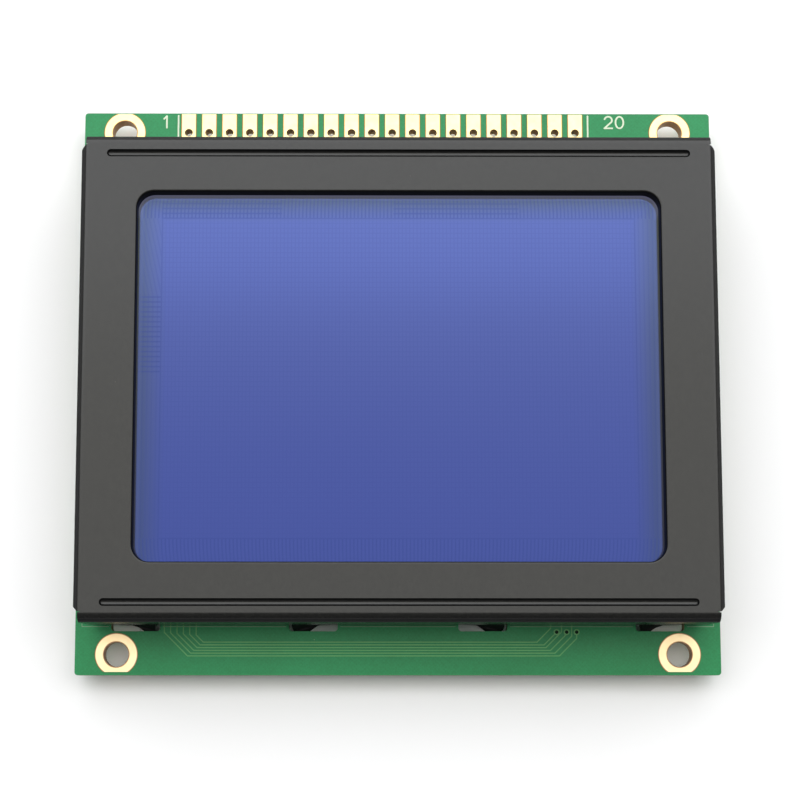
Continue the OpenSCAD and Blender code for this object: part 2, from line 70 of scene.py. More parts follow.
# Shader sums: a Value takes part in plain Python arithmetic and adds the Math nodes for it
class Value:
    def __init__(self, finish, socket):
        self.finish = finish
        self.socket = socket

    def sum(self, operation, first, second=0.0):
        return self.finish.node("ShaderNodeMath", {"operation": operation}, {0: first, 1: second})

    def __add__(self, other):
        return self.sum("ADD", self, other)

    def __radd__(self, other):
        return self.sum("ADD", other, self)

    def __sub__(self, other):
        return self.sum("SUBTRACT", self, other)

    def __rsub__(self, other):
        return self.sum("SUBTRACT", other, self)

    def __mul__(self, other):
        return self.sum("MULTIPLY", self, other)

    def __rmul__(self, other):
        return self.sum("MULTIPLY", other, self)

    def __truediv__(self, other):
        return self.sum("DIVIDE", self, other)

    def __rtruediv__(self, other):
        return self.sum("DIVIDE", other, self)

    def __pow__(self, other):
        return self.sum("POWER", self, other)

    def __rpow__(self, other):
        return self.sum("POWER", other, self)

    def __abs__(self):
        return self.sum("ABSOLUTE", self)

    def atLeast(self, other):
        return self.sum("MAXIMUM", self, other)

    def atMost(self, other):
        return self.sum("MINIMUM", self, other)

    def clamped(self):
        return self.atLeast(0.0).atMost(1.0)

    def folded(self, half):  # counts from 0 up to half and back, over and over
        return self.sum("PINGPONG", self, half)

    def over(self, edge, soft):  # 0 below the edge, 1 above it
        return ((self - edge) / soft + 0.5).clamped()

    def within(self, low, high, soft):  # 1 between the two edges
        return self.over(low, soft) * (1 - self.over(high, soft))

    def lines(self, pitch, width, soft):  # 1 on thin lines at every multiple of the pitch
        return 1 - self.folded(pitch / 2).over(width / 2, soft)


class Finish:  # one material, or the world, and its nodes
    def __init__(self, name, tree=None):
        if tree is None:
            self.material = bpy.data.materials.new(name)
            self.material.use_nodes = True
            tree = self.material.node_tree
        self.tree = tree
        self.shader = tree.nodes.get("Principled BSDF")

    def node(self, kind, settings=None, inputs=None, out=0):
        made = self.tree.nodes.new(kind)
        for key, value in (settings or {}).items():
            if key == "stops":
                self.setStops(made.color_ramp, value)
            else:
                setattr(made, key, value)
        for key, value in (inputs or {}).items():
            self.feed(made.inputs[key], value)
        return Value(self, made.outputs[out])

    def setStops(self, ramp, stops):
        while len(ramp.elements) < len(stops):
            ramp.elements.new(1.0)
        for element, (position, colour) in zip(ramp.elements, stops):
            element.position = position
            element.color = colour

    def feed(self, socket, value):
        if isinstance(value, Value):
            self.tree.links.new(value.socket, socket)
        else:
            socket.default_value = value

    def set(self, **sockets):  # baseColor=... feeds the shader's Base Color
        for key, value in sockets.items():
            words = "".join(" " + letter if letter.isupper() else letter for letter in key)
            self.feed(self.shader.inputs[words.title()], value)
        return self.material

    def fix(self, socket, value):  # a constant on the shader's own socket
        self.shader.inputs[socket].default_value = value

    def coords(self):
        return self.node("ShaderNodeTexCoord", out="Object")

    def place(self):  # x, y and z on the piece, in millimetres
        split = self.node("ShaderNodeSeparateXYZ", inputs={0: self.coords()}).socket.node
        return [Value(self, output) * (1 / mm) for output in split.outputs]

    def grain(self, size, detail=3.0):  # soft noise with spots of about this size in millimetres
        return self.node("ShaderNodeTexNoise", {}, {"Vector": self.coords(), "Scale": 1 / (size * mm),
                                                     "Detail": detail})

    def uneven(self, level, size, spread):  # a level that rises by up to the spread, in spots of that size
        return level + self.grain(size) * spread

    def blend(self, share, first, second, kind="MIX"):  # the Mix node's colours are its sockets 6 and 7
        return self.node("ShaderNodeMix", {"data_type": "RGBA", "blend_type": kind},
                         {0: share, 6: first, 7: second}, out=2)

    def mottled(self, size, first, second):
        return self.blend(self.grain(size), first, second)

    def dusted(self, colour, s):  # scattered pale specks, their size in shares of their spacing
        away = self.node("ShaderNodeTexVoronoi", {}, {"Vector": self.coords(),
                                                       "Scale": 1 / (s["speckSpacing"] * mm)})
        specks = 1 - away.over(s["speckSize"], s["speckSoft"])
        return self.blend(specks * s["dustShare"], colour, s["dust"])

    def bump(self, height, depth):
        return self.node("ShaderNodeBump", {}, {"Strength": 1.0, "Distance": depth * mm, "Height": height})

    def shaderOut(self):
        return Value(self, self.shader.outputs[0])

    def shaderMix(self, share, first, second):  # replaces the plain shader at the output
        mixed = self.node("ShaderNodeMixShader", {}, {0: share, 1: first, 2: second})
        output = self.tree.nodes["Material Output"]
        self.tree.links.new(mixed.socket, output.inputs["Surface"])
        return self.material


# Finishes, one for each material slot of the record.
# Three numbers for a roughness are its level, the size of its spots and their spread.

solderMask = {
    "green": srgb(40, 148, 90),
    "deepGreen": srgb(31, 127, 73),
    "cloudSize": 14,
    "cloudDetail": 2.0,
    "cloudRange": (0.5, 0.5),  # middle and width of the noise that shows
    "cloudShare": 0.6,
    "grainSize": 0.25,
    "grainRange": (0.5, 0.3),
    "grainShare": 0.4,
    "weavePitch": 0.5,
    "weaveShare": 0.2,
    "laminate": srgb(146, 142, 100),
    "fibre": srgb(176, 170, 128),
    "fibreSize": 0.4,
    "layerPitch": 0.2,
    "layerSoft": 0.06,
    "rimDepth": 0.03,
    "rimSoft": 0.01,
    "roughness": (0.34, 3.0, 0.06),
    "cutRoughness": 0.4,
    "shine": 0.3,
    "rippleSize": 0.6,
    "rippleDepth": 0.004,
    "rippleShare": 0.6,
    "dust": srgb(150, 190, 150),
    "dustShare": 0.7,
    "speckSpacing": 2.5,
    "speckSize": 0.024,
    "speckSoft": 0.01,
}


def makeSolderMask():
    s = solderMask
    f = Finish("solderMask")
    x, y, z = f.place()
    cut = z.within(boardBack + s["rimDepth"], boardTop - s["rimDepth"], s["rimSoft"])
    pitch = s["weavePitch"]
    warp, weft = [along.lines(pitch, pitch / 2, pitch / 3) for along in (x, y)]
    weave = (warp - weft) * (warp - weft)
    cloud = f.grain(s["cloudSize"], s["cloudDetail"]).over(*s["cloudRange"])
    grain = f.grain(s["grainSize"]).over(*s["grainRange"])
    deep = cloud * s["cloudShare"] + weave * s["weaveShare"] + grain * s["grainShare"]
    green = f.dusted(f.blend(deep, s["green"], s["deepGreen"]), s)
    layers = z.lines(s["layerPitch"], s["layerPitch"] / 2, s["layerSoft"]) * f.grain(s["fibreSize"])
    edge = f.blend(layers, s["laminate"], s["fibre"])
    ripple = weave * (1 - s["rippleShare"]) + f.grain(s["rippleSize"]) * s["rippleShare"]
    f.fix("Specular IOR Level", s["shine"])
    return f.set(baseColor=f.blend(cut, green, edge), normal=f.bump(ripple, s["rippleDepth"]),
                 roughness=f.uneven(*s["roughness"]) + cut * s["cutRoughness"])


goldPlating = {
    "gold": srgb(252, 222, 168),
    "paleGold": srgb(255, 234, 194),
    "paintedUpperGold": srgb(250, 217, 142),  # painted light: the upper pads get their own gold, as they face the brighter panel
    "paintedUpperPale": srgb(254, 231, 178),
    "paintedUpperSoft": 1.0,
    "mottleSize": 1.2,
    "paintedRimShade": srgb(112, 62, 26),
    "paintedRimShadeShare": 0.9,
    "rimWidth": 0.1,
    "barrelBrown": srgb(150, 112, 72),
    "barrelStart": 0.02,
    "barrelSoft": 0.04,
    "roughness": (0.3, 0.5, 0.15),
    "dentSize": 0.25,
    "dentDepth": 0.004,
    "hole": (34.0, 32.5),
    "holeRadius": 1.5,
    "ringRadius": 2.6,
    "ringReach": 3.1,  # up to here a point belongs to a ring and not to a pad
    "padCount": 20,
    "padPitch": 2.54,
    "padHalf": 0.95,
    "firstPad": -26.05,
}


def makeGoldPlating():
    s = goldPlating
    f = Finish("goldPlating")
    x, y, z = f.place()
    width = s["rimWidth"]
    dx = abs(x) - s["hole"][0]
    dy = abs(y) - s["hole"][1]
    fromHole = (dx * dx + dy * dy) ** 0.5
    onRing = 1 - fromHole.over(s["ringReach"], width)
    fromMiddle = abs(fromHole - (s["ringRadius"] + s["holeRadius"]) / 2)
    # painted shade: a thin dark brown rim along the edges of the rings and pads
    ringRim = fromMiddle.over((s["ringRadius"] - s["holeRadius"]) / 2 - width, width)
    padRim = (x - s["firstPad"]).folded(s["padPitch"] / 2).over(s["padHalf"] - width, width)
    paintedRim = (ringRim * onRing + padRim * (1 - onRing)).clamped()
    inside = z.within(boardBack + s["barrelStart"], boardTop - s["barrelStart"], s["barrelSoft"])
    lower = f.mottled(s["mottleSize"], s["gold"], s["paleGold"])
    upper = f.mottled(s["mottleSize"], s["paintedUpperGold"], s["paintedUpperPale"])
    # painted light: the upper pads take the gold painted for the brighter panel
    gold = f.blend(y.over(0.0, s["paintedUpperSoft"]), lower, upper)
    gold = f.blend(paintedRim * s["paintedRimShadeShare"], gold, s["paintedRimShade"])
    f.fix("Metallic", 1.0)
    return f.set(baseColor=f.blend(inside, gold, s["barrelBrown"]), roughness=f.uneven(*s["roughness"]),
                 normal=f.bump(f.grain(s["dentSize"]), s["dentDepth"]))


bezelPaint = {
    "black": srgb(15, 15, 15),
    "worn": srgb(30, 30, 28),
    "grainSize": 0.25,
    "grainDetail": 4.0,
    "grainRange": (0.5, 0.3),
    "roughness": (0.16, 6.0, 0.05),
    "fineSize": 0.2,
    "fineSpread": 0.05,
    "peelSize": 0.7,
    "peelDetail": 2.0,
    "peelDepth": 0.0028,
    "peelShare": 0.5,
    "dust": srgb(96, 92, 84),
    "dustShare": 0.6,
    "speckSpacing": 5.0,
    "speckSize": 0.012,
    "speckSoft": 0.006,
    "dull": srgb(8, 8, 10),  # painted shade: a dark, dull black on the folds and the window's lip
    "paintedShadeRoughness": 0.5,
    "paintedShadeShine": 0.05,
    "paintedShadeShare": 0.95,
    "wallSlope": (0.1, 0.2),  # a fold's slope lies between these two, each with its softness
    "faceSlope": (0.8, 0.3),
    "lip": (31.2, 22.2),
    "lipSoft": 0.1,
}


def makeBezelPaint():
    s = bezelPaint
    f = Finish("bezelPaint")
    x, y = f.place()[:2]
    grain = f.grain(s["grainSize"], s["grainDetail"]).over(*s["grainRange"])
    paint = f.blend(grain, s["black"], s["worn"])
    coarse, fine = [f.grain(size, s["peelDetail"]) for size in (s["peelSize"], s["grainSize"])]
    peel = coarse * s["peelShare"] + fine * (1 - s["peelShare"])
    f.set(baseColor=f.dusted(paint, s), normal=f.bump(peel, s["peelDepth"]),
          roughness=f.uneven(*s["roughness"]) + f.grain(s["fineSize"]) * s["fineSpread"])
    # painted shade: folds, walls and the lip's wall are mixed towards a dark, nearly unreflecting black
    facing = f.node("ShaderNodeNewGeometry", out="Normal")
    upright = f.node("ShaderNodeSeparateXYZ", inputs={0: facing}, out="Z")
    onLip = (1 - abs(x).over(s["lip"][0], s["lipSoft"])) * (1 - abs(y).over(s["lip"][1], s["lipSoft"]))
    paintedShadePart = (1 - upright.over(*s["faceSlope"])) * upright.over(*s["wallSlope"]).atLeast(onLip)
    dull = f.node("ShaderNodeBsdfPrincipled", {}, {"Base Color": s["dull"], "Roughness": s["paintedShadeRoughness"],
                                                   "Specular IOR Level": s["paintedShadeShine"]})
    return f.shaderMix(paintedShadePart * s["paintedShadeShare"], f.shaderOut(), dull)


polarizerFilm = {
    "blue": (0.033, 0.031, 0.126, 1.0),
    # painted light: the blue turns lighter towards the top, as if more light fell there
    "paintedLitTopBlue": (0.094, 0.103, 0.232, 1.0),
    "paintedRiseSpan": 2.2,  # in heights of half the dot area
    "paintedRiseCurve": 1.7,
    "cloudSize": 20.0,
    "cloudDetail": 1.0,
    "cloudShare": 0.08,
    "roughness": (0.11, 4.0, 0.03),
    "ior": 1.8,
    "mirrorLevel": 0.75,
    "mirrorBlue": (0.16, 0.29, 1.0, 1.0),  # the cell throws back blue light like a mirror
    "paintedEdgeMirror": (0.19, 0.3, 0.68, 1.0),  # painted reflection: greyer light thrown back along the window's upper edge
    "paintedEdgeMirrorWidth": 2.2,
    "paintedEdgeShade": (1.0, 0.96, 0.05, 1.0),  # painted shade: the blue turns greyer towards the window's upper and side edges
    "paintedEdgeShadeWidth": 3.4,
    "paintedEdgeGlow": (0.076, 0.078, 0.15, 1.0),  # painted light: a faint glow in the shade of the lip
    "paintedEdgeGlowWidth": 0.75,
    "paintedEdgeGlowRise": 2.5,  # the glow is even over most of its width
    "paintedSideGlow": 0.2,
    "paintedSideGlowStart": 2.5,  # how far below the window's upper edge the glow weakens
    "window": (31.0, 22.0),
    "windowRadius": 2.0,
    "dotArea": (28.14, 19.18),
    "dotPitch": (0.4397, 0.5994),
    "areaSoft": 0.05,
    "lineBlue": (0.012, 0.012, 0.075, 1.0),
    "gap": (0.1, 0.06),  # width and softness of the lines
    "gapShare": 0.17,
    "frameLine": (0.08, 0.06),
    "frameShare": 0.35,
    "lead": (0.16, 0.1),
    "leadPitch": 0.44,
    "leadShare": 0.5,
    "leadSpread": 0.03,
    "sideShare": 0.4,
    "crossed": ((-28.2, -13.9), (-0.6, 14.3)),  # parts of the upper border where bars cross the leads
    "barsLow": 0.1,  # on the left, bars stand below a fan of leads
    "fanLow": 9.7,
    "fanSlope": 0.22,
    "fanPitch": 0.5,
    "bundlePitch": 0.55,
}


def dotMatrix(x, y):  # share of dark line: gaps between the dots, and the clear leads around them
    s = polarizerFilm
    halfX, halfY = s["dotArea"]
    pitchX, pitchY = s["dotPitch"]
    soft = s["lead"][1]
    inArea = x.within(-halfX, halfX, s["areaSoft"]) * y.within(-halfY, halfY, s["areaSoft"])
    gaps = x.lines(pitchX, *s["gap"]).atLeast(y.lines(pitchY, *s["gap"]))
    above = y.over(halfY, s["areaSoft"])
    below = 1 - y.over(-halfY, s["areaSoft"])
    beside = (1 - above) * (1 - below) * (1 - inArea)
    left = 1 - x.over(0.0, soft)
    fanned = y.over(s["fanLow"], soft) * left
    spread = (abs(y) - halfY).atLeast(0.0) ** 2.0 * s["leadSpread"] * (x / halfX)
    upright = (x + spread).lines(s["leadPitch"], *s["lead"]) * (above + below)
    first, second = [x.within(west, east, soft) for west, east in s["crossed"]]
    barred = above * (first + second) + beside * left * y.within(s["barsLow"], s["fanLow"], soft)
    bars = y.lines(pitchY, *s["lead"]) * barred
    fan = (x + y * s["fanSlope"]).lines(s["fanPitch"], *s["lead"]) * beside * fanned
    bundle = x.lines(s["bundlePitch"], *s["lead"]) * beside * (1 - fanned)
    leads = (upright + bars + (fan + bundle) * s["sideShare"]).clamped()
    outside = (abs(x) - halfX).atLeast(abs(y) - halfY)
    frameLine = 1 - abs(outside).over(*s["frameLine"])
    dark = gaps * inArea * s["gapShare"] + leads * (1 - inArea) * s["leadShare"]
    return dark.atLeast(frameLine * s["frameShare"])


def edgeFade(x, y, width):  # 1 at the upper and side edges of the window, fading inwards
    s = polarizerFilm
    reachX = abs(x) - (s["window"][0] - s["windowRadius"])
    reachY = y.atLeast(0.0) - (s["window"][1] - s["windowRadius"])
    corner = (reachX.atLeast(0.0) ** 2.0 + reachY.atLeast(0.0) ** 2.0) ** 0.5
    beyond = corner + reachX.atLeast(reachY).atMost(0.0) - s["windowRadius"]
    return (beyond / width + 1).clamped()


def makePolarizerFilm():
    s = polarizerFilm
    f = Finish("polarizerFilm")
    x, y = f.place()[:2]
    lipShade = edgeFade(x, y, s["paintedEdgeGlowWidth"])
    paintedTopWeight = y.over(s["window"][1] - s["paintedSideGlowStart"], s["windowRadius"]).atLeast(s["paintedSideGlow"])
    cloud = (f.grain(s["cloudSize"], s["cloudDetail"]) - 0.5) * s["cloudShare"]
    # painted light: the share of the lighter blue rises towards the top, with random cloud on it
    rise = y.over(0.0, s["paintedRiseSpan"] * s["dotArea"][1]) ** s["paintedRiseCurve"] + cloud
    blue = f.blend(rise, s["blue"], s["paintedLitTopBlue"])
    # painted shade: greyer blue towards the window's upper and side edges
    blue = f.blend(edgeFade(x, y, s["paintedEdgeShadeWidth"]), blue, s["paintedEdgeShade"], "MULTIPLY")
    colour = f.blend(dotMatrix(x, y) * (1 - lipShade), blue, s["lineBlue"])
    # painted light: the film glows faintly in the lip's shade, fully along the upper edge and weaker down
    # the sides
    glow = (lipShade * s["paintedEdgeGlowRise"]).clamped() * paintedTopWeight
    f.fix("Emission Strength", 1.0)
    f.fix("IOR", s["ior"])
    f.fix("Specular IOR Level", s["mirrorLevel"])
    f.fix("Specular Tint", s["mirrorBlue"])
    f.set(baseColor=colour, roughness=f.uneven(*s["roughness"]),
          emissionColor=f.blend(glow, noLight, s["paintedEdgeGlow"]))
    # painted reflection: a second shader with a greyer mirror, mixed in along the window's upper edge
    edge = f.node("ShaderNodeBsdfPrincipled", {}, {"Base Color": colour, "Roughness": s["roughness"][0],
                                                   "IOR": s["ior"], "Specular IOR Level": s["mirrorLevel"],
                                                   "Specular Tint": s["paintedEdgeMirror"]})
    share = edgeFade(x, y, s["paintedEdgeMirrorWidth"]) * (1 - lipShade) * paintedTopWeight
    return f.shaderMix(share, f.shaderOut(), edge)


displayGlass = {
    "tint": (0.97, 0.98, 0.98, 1.0),
    "edgeGreen": srgb(24, 44, 46),
    "edgeShare": 0.92,
    "edgeSoft": 0.2,
    "clearMargin": 0.6,  # how far beyond the film the plates stay clear
    "roughness": (0.15, 0.5, 0.2),
}


def makeDisplayGlass():
    s = displayGlass
    f = Finish("displayGlass")
    x, y = f.place()[:2]
    rimX = abs(x).over(filmHigh[0] + s["clearMargin"], s["edgeSoft"])
    rimY = abs(y).over(filmHigh[1] + s["clearMargin"], s["edgeSoft"])
    clear = f.node("ShaderNodeBsdfTransparent", {}, {"Color": s["tint"]})
    f.set(baseColor=s["edgeGreen"], roughness=f.uneven(*s["roughness"]))
    return f.shaderMix((rimX + rimY).clamped() * s["edgeShare"], clear, f.shaderOut())


displayBlue = {"colours": (srgb(30, 60, 170), srgb(18, 44, 150)),
               "size": 8.0, "roughness": 0.5, "depth": 0.0005}
sealResin = {"colours": (srgb(206, 200, 172), srgb(180, 172, 140)),
             "size": 1.5, "roughness": 0.5, "depth": 0.002}
whitePlastic = {"colours": (srgb(232, 232, 226), srgb(218, 217, 208)),
                "size": 4.0, "roughness": 0.45, "depth": 0.002}
whiteFilm = {"colours": (srgb(240, 240, 236), srgb(228, 228, 222)),
             "size": 3.0, "roughness": 0.65, "depth": 0.001}
ledLaminate = {"colours": (srgb(226, 222, 200), srgb(205, 199, 172)),
               "size": 2.0, "roughness": 0.55, "depth": 0.002}
ledPackage = {"colours": (srgb(250, 236, 150), srgb(244, 243, 236)),
              "size": 1.0, "roughness": 0.3, "depth": 0.001}
blackResin = {"colours": (srgb(24, 24, 26), srgb(44, 44, 46)),
              "size": 0.8, "roughness": 0.42, "depth": 0.006}
mottle = {"roughParts": 3, "roughSpread": 0.15, "bumpParts": 4}  # how much finer the other spots are


def makeMottled(name, s):  # two shades in soft spots, with a finer roughness and bump
    f = Finish(name)
    size = s["size"]
    return f.set(baseColor=f.mottled(size, *s["colours"]),
                 roughness=f.uneven(s["roughness"], size / mottle["roughParts"], mottle["roughSpread"]),
                 normal=f.bump(f.grain(size / mottle["bumpParts"]), s["depth"]))


elastomer = {
    "black": srgb(34, 34, 36),
    "pink": srgb(150, 128, 122),
    "stripe": 0.1,
    "stripeSoft": 0.02,
    "coreY": 26.0,  # the conductive layers stand in the middle of each strip
    "coreHalf": 0.35,
    "coreSoft": 0.1,
    "roughness": (0.6, 0.5, 0.1),
}


def makeElastomer():
    s = elastomer
    f = Finish("elastomer")
    x, y = f.place()[:2]
    core = 1 - abs(abs(y) - s["coreY"]).over(s["coreHalf"], s["coreSoft"])
    stripes = x.lines(s["stripe"], s["stripe"] / 2, s["stripeSoft"]) * core
    return f.set(baseColor=f.blend(stripes, s["pink"], s["black"]), roughness=f.uneven(*s["roughness"]))


clearAcrylic = {
    "tint": (0.96, 0.98, 0.98, 1.0),
    "haze": 0.15,
    "dot": srgb(236, 240, 240),
    "dotPitch": 1.2,
    "dotRadius": 0.3,
    "dotSoft": 0.05,
    "dotShare": 0.6,
    "roughness": (0.3, 1.0, 0.1),
}


def makeClearAcrylic():
    s = clearAcrylic
    f = Finish("clearAcrylic")
    across, along = [value.folded(s["dotPitch"] / 2) for value in f.place()[:2]]
    printed = 1 - ((across * across + along * along) ** 0.5).over(s["dotRadius"], s["dotSoft"])
    clear = f.node("ShaderNodeBsdfTransparent", {}, {"Color": s["tint"]})
    f.set(baseColor=s["dot"], roughness=f.uneven(*s["roughness"]))
    return f.shaderMix(s["haze"] + printed * s["dotShare"], clear, f.shaderOut())


tinnedMetal = {
    "tin": srgb(200, 203, 206),
    "dull": srgb(168, 170, 172),
    "mottleSize": 0.4,
    "roughness": (0.28, 0.3, 0.2),
    "dentSize": 0.3,
    "dentDepth": 0.004,
}


def makeTinnedMetal():
    s = tinnedMetal
    f = Finish("tinnedMetal")
    f.fix("Metallic", 1.0)
    return f.set(baseColor=f.mottled(s["mottleSize"], s["tin"], s["dull"]),
                 roughness=f.uneven(*s["roughness"]),
                 normal=f.bump(f.grain(s["dentSize"]), s["dentDepth"]))


chipParts = {
    "resistor": (srgb(26, 26, 28), srgb(40, 40, 42)),
    "capacitor": (srgb(170, 140, 100), srgb(150, 120, 84)),
    "mottleSize": 0.4,
    "tin": srgb(196, 199, 202),
    "bodyHalf": 0.62,  # the tinned ends lie beyond the body's half length
    "endSoft": 0.03,
    "roughness": (0.35, 0.3, 0.1),
}


def makeChip(name, node, body):
    s = chipParts
    f = Finish(name)
    ends = abs(f.place()[1] - middleOf(node)[1]).over(s["bodyHalf"], s["endSoft"])
    colour = f.blend(ends, f.mottled(s["mottleSize"], *s[body]), s["tin"])
    return f.set(baseColor=colour, metallic=ends, roughness=f.uneven(*s["roughness"]))


finishes = {
    "solder_mask": makeSolderMask(),
    "gold_plating": makeGoldPlating(),
    "bezel_paint": makeBezelPaint(),
    "polarizer_film": makePolarizerFilm(),
    "display_glass": makeDisplayGlass(),
    "display_blue": makeMottled("displayBlue", displayBlue),
    "seal_resin": makeMottled("sealResin", sealResin),
    "elastomer": makeElastomer(),
    "white_plastic": makeMottled("whitePlastic", whitePlastic),
    "white_film": makeMottled("whiteFilm", whiteFilm),
    "clear_acrylic": makeClearAcrylic(),
    "led_laminate": makeMottled("ledLaminate", ledLaminate),
    "led_package": makeMottled("ledPackage", ledPackage),
    "tinned_metal": makeTinnedMetal(),
    "black_resin": makeMottled("blackResin", blackResin),
    "resistor_ceramic": makeChip("resistorCeramic", "chip_resistors", "resistor"),
    "capacitor_ceramic": makeChip("capacitorCeramic", "chip_capacitors", "capacitor"),
}
for part in frame["record"]["subparts"]:
    mesh = nodes[part["node"]].data
    mesh.materials.clear()
    mesh.materials.append(finishes[part["material_slot"]])


# Pieces on the board: strokes drawn as outlines, filled and raised

def deselect():
    bpy.ops.object.select_all(action="DESELECT")


def pick(pieces):  # the first one becomes the active object
    deselect()
    for piece in pieces:
        piece.select_set(True)
    bpy.context.view_layer.objects.active = pieces[0]


def joined(pieces):
    pick(pieces)
    bpy.ops.object.join()
    return bpy.context.object


def settle(piece, name, finish=None):  # place into the mesh, finish and body
    pick([piece])
    bpy.ops.object.transform_apply(location=True, rotation=True, scale=True)
    piece.name = name
    if finish:
        piece.data.materials.clear()
        piece.data.materials.append(finish)
    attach(piece, "root")


stroke = {
    "levels": 4,  # neighbours differ in depth and height, so that no two faces coincide where they meet
    "sink": 0.004,
    "stagger": 0.05,
    "edge": 0.012,
    "capTurns": (60, 30, 0, -30, -60),
    "shortest": 0.001,
}


def cap(end, way, half):  # round end of a stroke
    turns = [math.radians(angle) for angle in stroke["capTurns"]]
    return [(end[0] + half * (way[0] * math.cos(a) - way[1] * math.sin(a)),
             end[1] + half * (way[1] * math.cos(a) + way[0] * math.sin(a))) for a in turns]


def outline(path, half):  # line around a stroke, mitred at the bends
    path = path[:1] + [there for here, there in zip(path, path[1:])
                       if math.dist(here, there) > stroke["shortest"]]
    steps = [(bx - ax, by - ay) for (ax, ay), (bx, by) in zip(path, path[1:])]
    ways = [(dx / math.hypot(dx, dy), dy / math.hypot(dx, dy)) for dx, dy in steps]
    left, right = [], []
    for i, (x, y) in enumerate(path):
        before, after = ways[max(i - 1, 0)], ways[min(i, len(ways) - 1)]
        stretch = half / (1 + before[0] * after[0] + before[1] * after[1])
        offX, offY = -(before[1] + after[1]) * stretch, (before[0] + after[0]) * stretch
        left.append((x + offX, y + offY))
        right.append((x - offX, y - offY))
    back = (-ways[0][0], -ways[0][1])
    return left + cap(path[-1], ways[-1], half) + right[::-1] + cap(path[0], back, half)


def drawStroke(line, width, base, rise):
    deselect()
    x, y = line[0]
    bpy.ops.mesh.primitive_plane_add(size=width * mm, location=(x * mm, y * mm, base * mm))
    bpy.ops.object.mode_set(mode="EDIT")
    bpy.ops.mesh.merge(type="CENTER")
    for here, there in zip(line, line[1:]):
        step = ((there[0] - here[0]) * mm, (there[1] - here[1]) * mm, 0)
        bpy.ops.mesh.extrude_vertices_move(TRANSFORM_OT_translate={"value": step})
    bpy.ops.mesh.select_all(action="SELECT")
    bpy.ops.mesh.edge_face_add()
    bpy.ops.mesh.extrude_region_move(TRANSFORM_OT_translate={"value": (0, 0, rise * mm)})
    bpy.ops.mesh.bevel(offset=stroke["edge"] * mm, segments=1, affect="EDGES", clamp_overlap=True)
    bpy.ops.mesh.select_all(action="SELECT")
    bpy.ops.mesh.normals_make_consistent(inside=False)
    bpy.ops.object.mode_set(mode="OBJECT")
    return bpy.context.object


def drawn(paths, width, height, level=boardTop, side=1):  # side -1 draws on the board's back
    strokes = []
    for i, path in enumerate(paths):
        step = i % stroke["levels"]
        sink = stroke["sink"] * (1 + step)
        rise = height * (1 + stroke["stagger"] * step) + sink
        strokes.append(drawStroke(outline(path, width / 2), width, level - side * sink, side * rise))
    return joined(strokes)


tracks = {
    "count": 6,
    "width": 0.12,
    "height": 0.03,
    "underWall": -28.9,
    "leftX": -24.4,
    "leftPitch": 0.77,
    "bendY": -30.14,
    "bendStep": 0.06,
    "lineY": -31.01,
    "linePitch": 0.332,
    "rightX": 16.79,
    "rightStep": 0.54,
    "endX": (18.46, 19.18, 19.78, 20.39, 21.0, 21.6),
    "viaY": -29.8,
    "light": srgb(104, 180, 104),
    "dark": srgb(84, 164, 92),
    "mottleSize": 2.0,
    "roughness": (0.32, 0.5, 0.1),
}


def makeTrackFinish():
    t = tracks
    f = Finish("maskedTrack")
    return f.set(baseColor=f.mottled(t["mottleSize"], t["light"], t["dark"]),
                 roughness=f.uneven(*t["roughness"]))


def trackPath(i):
    t = tracks
    leftX = t["leftX"] - i * t["leftPitch"]
    bendY = t["bendY"] + i * t["bendStep"]
    lineY = t["lineY"] - i * t["linePitch"]
    endX = t["endX"][i]
    endY = t["viaY"] if i % 2 else t["underWall"]  # every second track ends in a via
    turnX = max(t["rightX"] + i * t["rightStep"], endX - (endY - lineY))
    return [(leftX, t["underWall"]), (leftX, bendY), (leftX + bendY - lineY, lineY), (turnX, lineY),
            (endX, lineY + endX - turnX), (endX, endY)]


trackFinish = makeTrackFinish()
trackPiece = drawn([trackPath(i) for i in range(tracks["count"])], tracks["width"], tracks["height"])
settle(trackPiece, "board_tracks", trackFinish)
print("tracks drawn")

vias = {
    "ringRadius": 0.36,
    "holeRadius": 0.22,
    "height": 0.06,
    "dimple": 0.018,  # its floor stays above the tracks
    "sides": 24,
    "facing": 0.9,  # how squarely a face looks up to count as the top
    # painted shade: the shallow dimple is coloured near black, for the dark inside a hole
    "hole": srgb(12, 30, 20),
    "holeRim": srgb(20, 44, 30),
    "holeShine": 0.05,
    "mottleSize": 0.2,
    "roughness": (0.4, 0.2, 0.1),
}


def makeViaFinish():
    v = vias
    f = Finish("viaHolePaintedShade")
    # painted shade: a near black with little shine stands for the dark inside the hole
    f.fix("Specular IOR Level", v["holeShine"])
    return f.set(baseColor=f.mottled(v["mottleSize"], v["hole"], v["holeRim"]),
                 roughness=f.uneven(*v["roughness"]))


def makeVia(x, y, side):  # a low ring with a dimple, on the front or on the back
    v = vias
    level = boardTop if side > 0 else boardBack
    deselect()
    middle = level + side * v["height"] / 2
    bpy.ops.mesh.primitive_cylinder_add(vertices=v["sides"], radius=v["ringRadius"] * mm,
                                        depth=v["height"] * mm, location=(x * mm, y * mm, middle * mm))
    via = bpy.context.object
    bpy.ops.object.mode_set(mode="EDIT")
    bpy.ops.mesh.select_all(action="DESELECT")
    bpy.ops.object.mode_set(mode="OBJECT")
    for face in via.data.polygons:
        face.select = face.normal.z * side > v["facing"]
    bpy.ops.object.mode_set(mode="EDIT")
    bpy.ops.mesh.inset(thickness=(v["ringRadius"] - v["holeRadius"]) * mm, depth=0)
    bpy.ops.mesh.extrude_region_move(TRANSFORM_OT_translate={"value": (0, 0, -side * v["dimple"] * mm)})
    via.data.materials.append(trackFinish)
    via.data.materials.append(viaHoleShadeFinish)
    via.active_material_index = 1
    bpy.ops.object.material_slot_assign()
    bpy.ops.object.mode_set(mode="OBJECT")
    return via


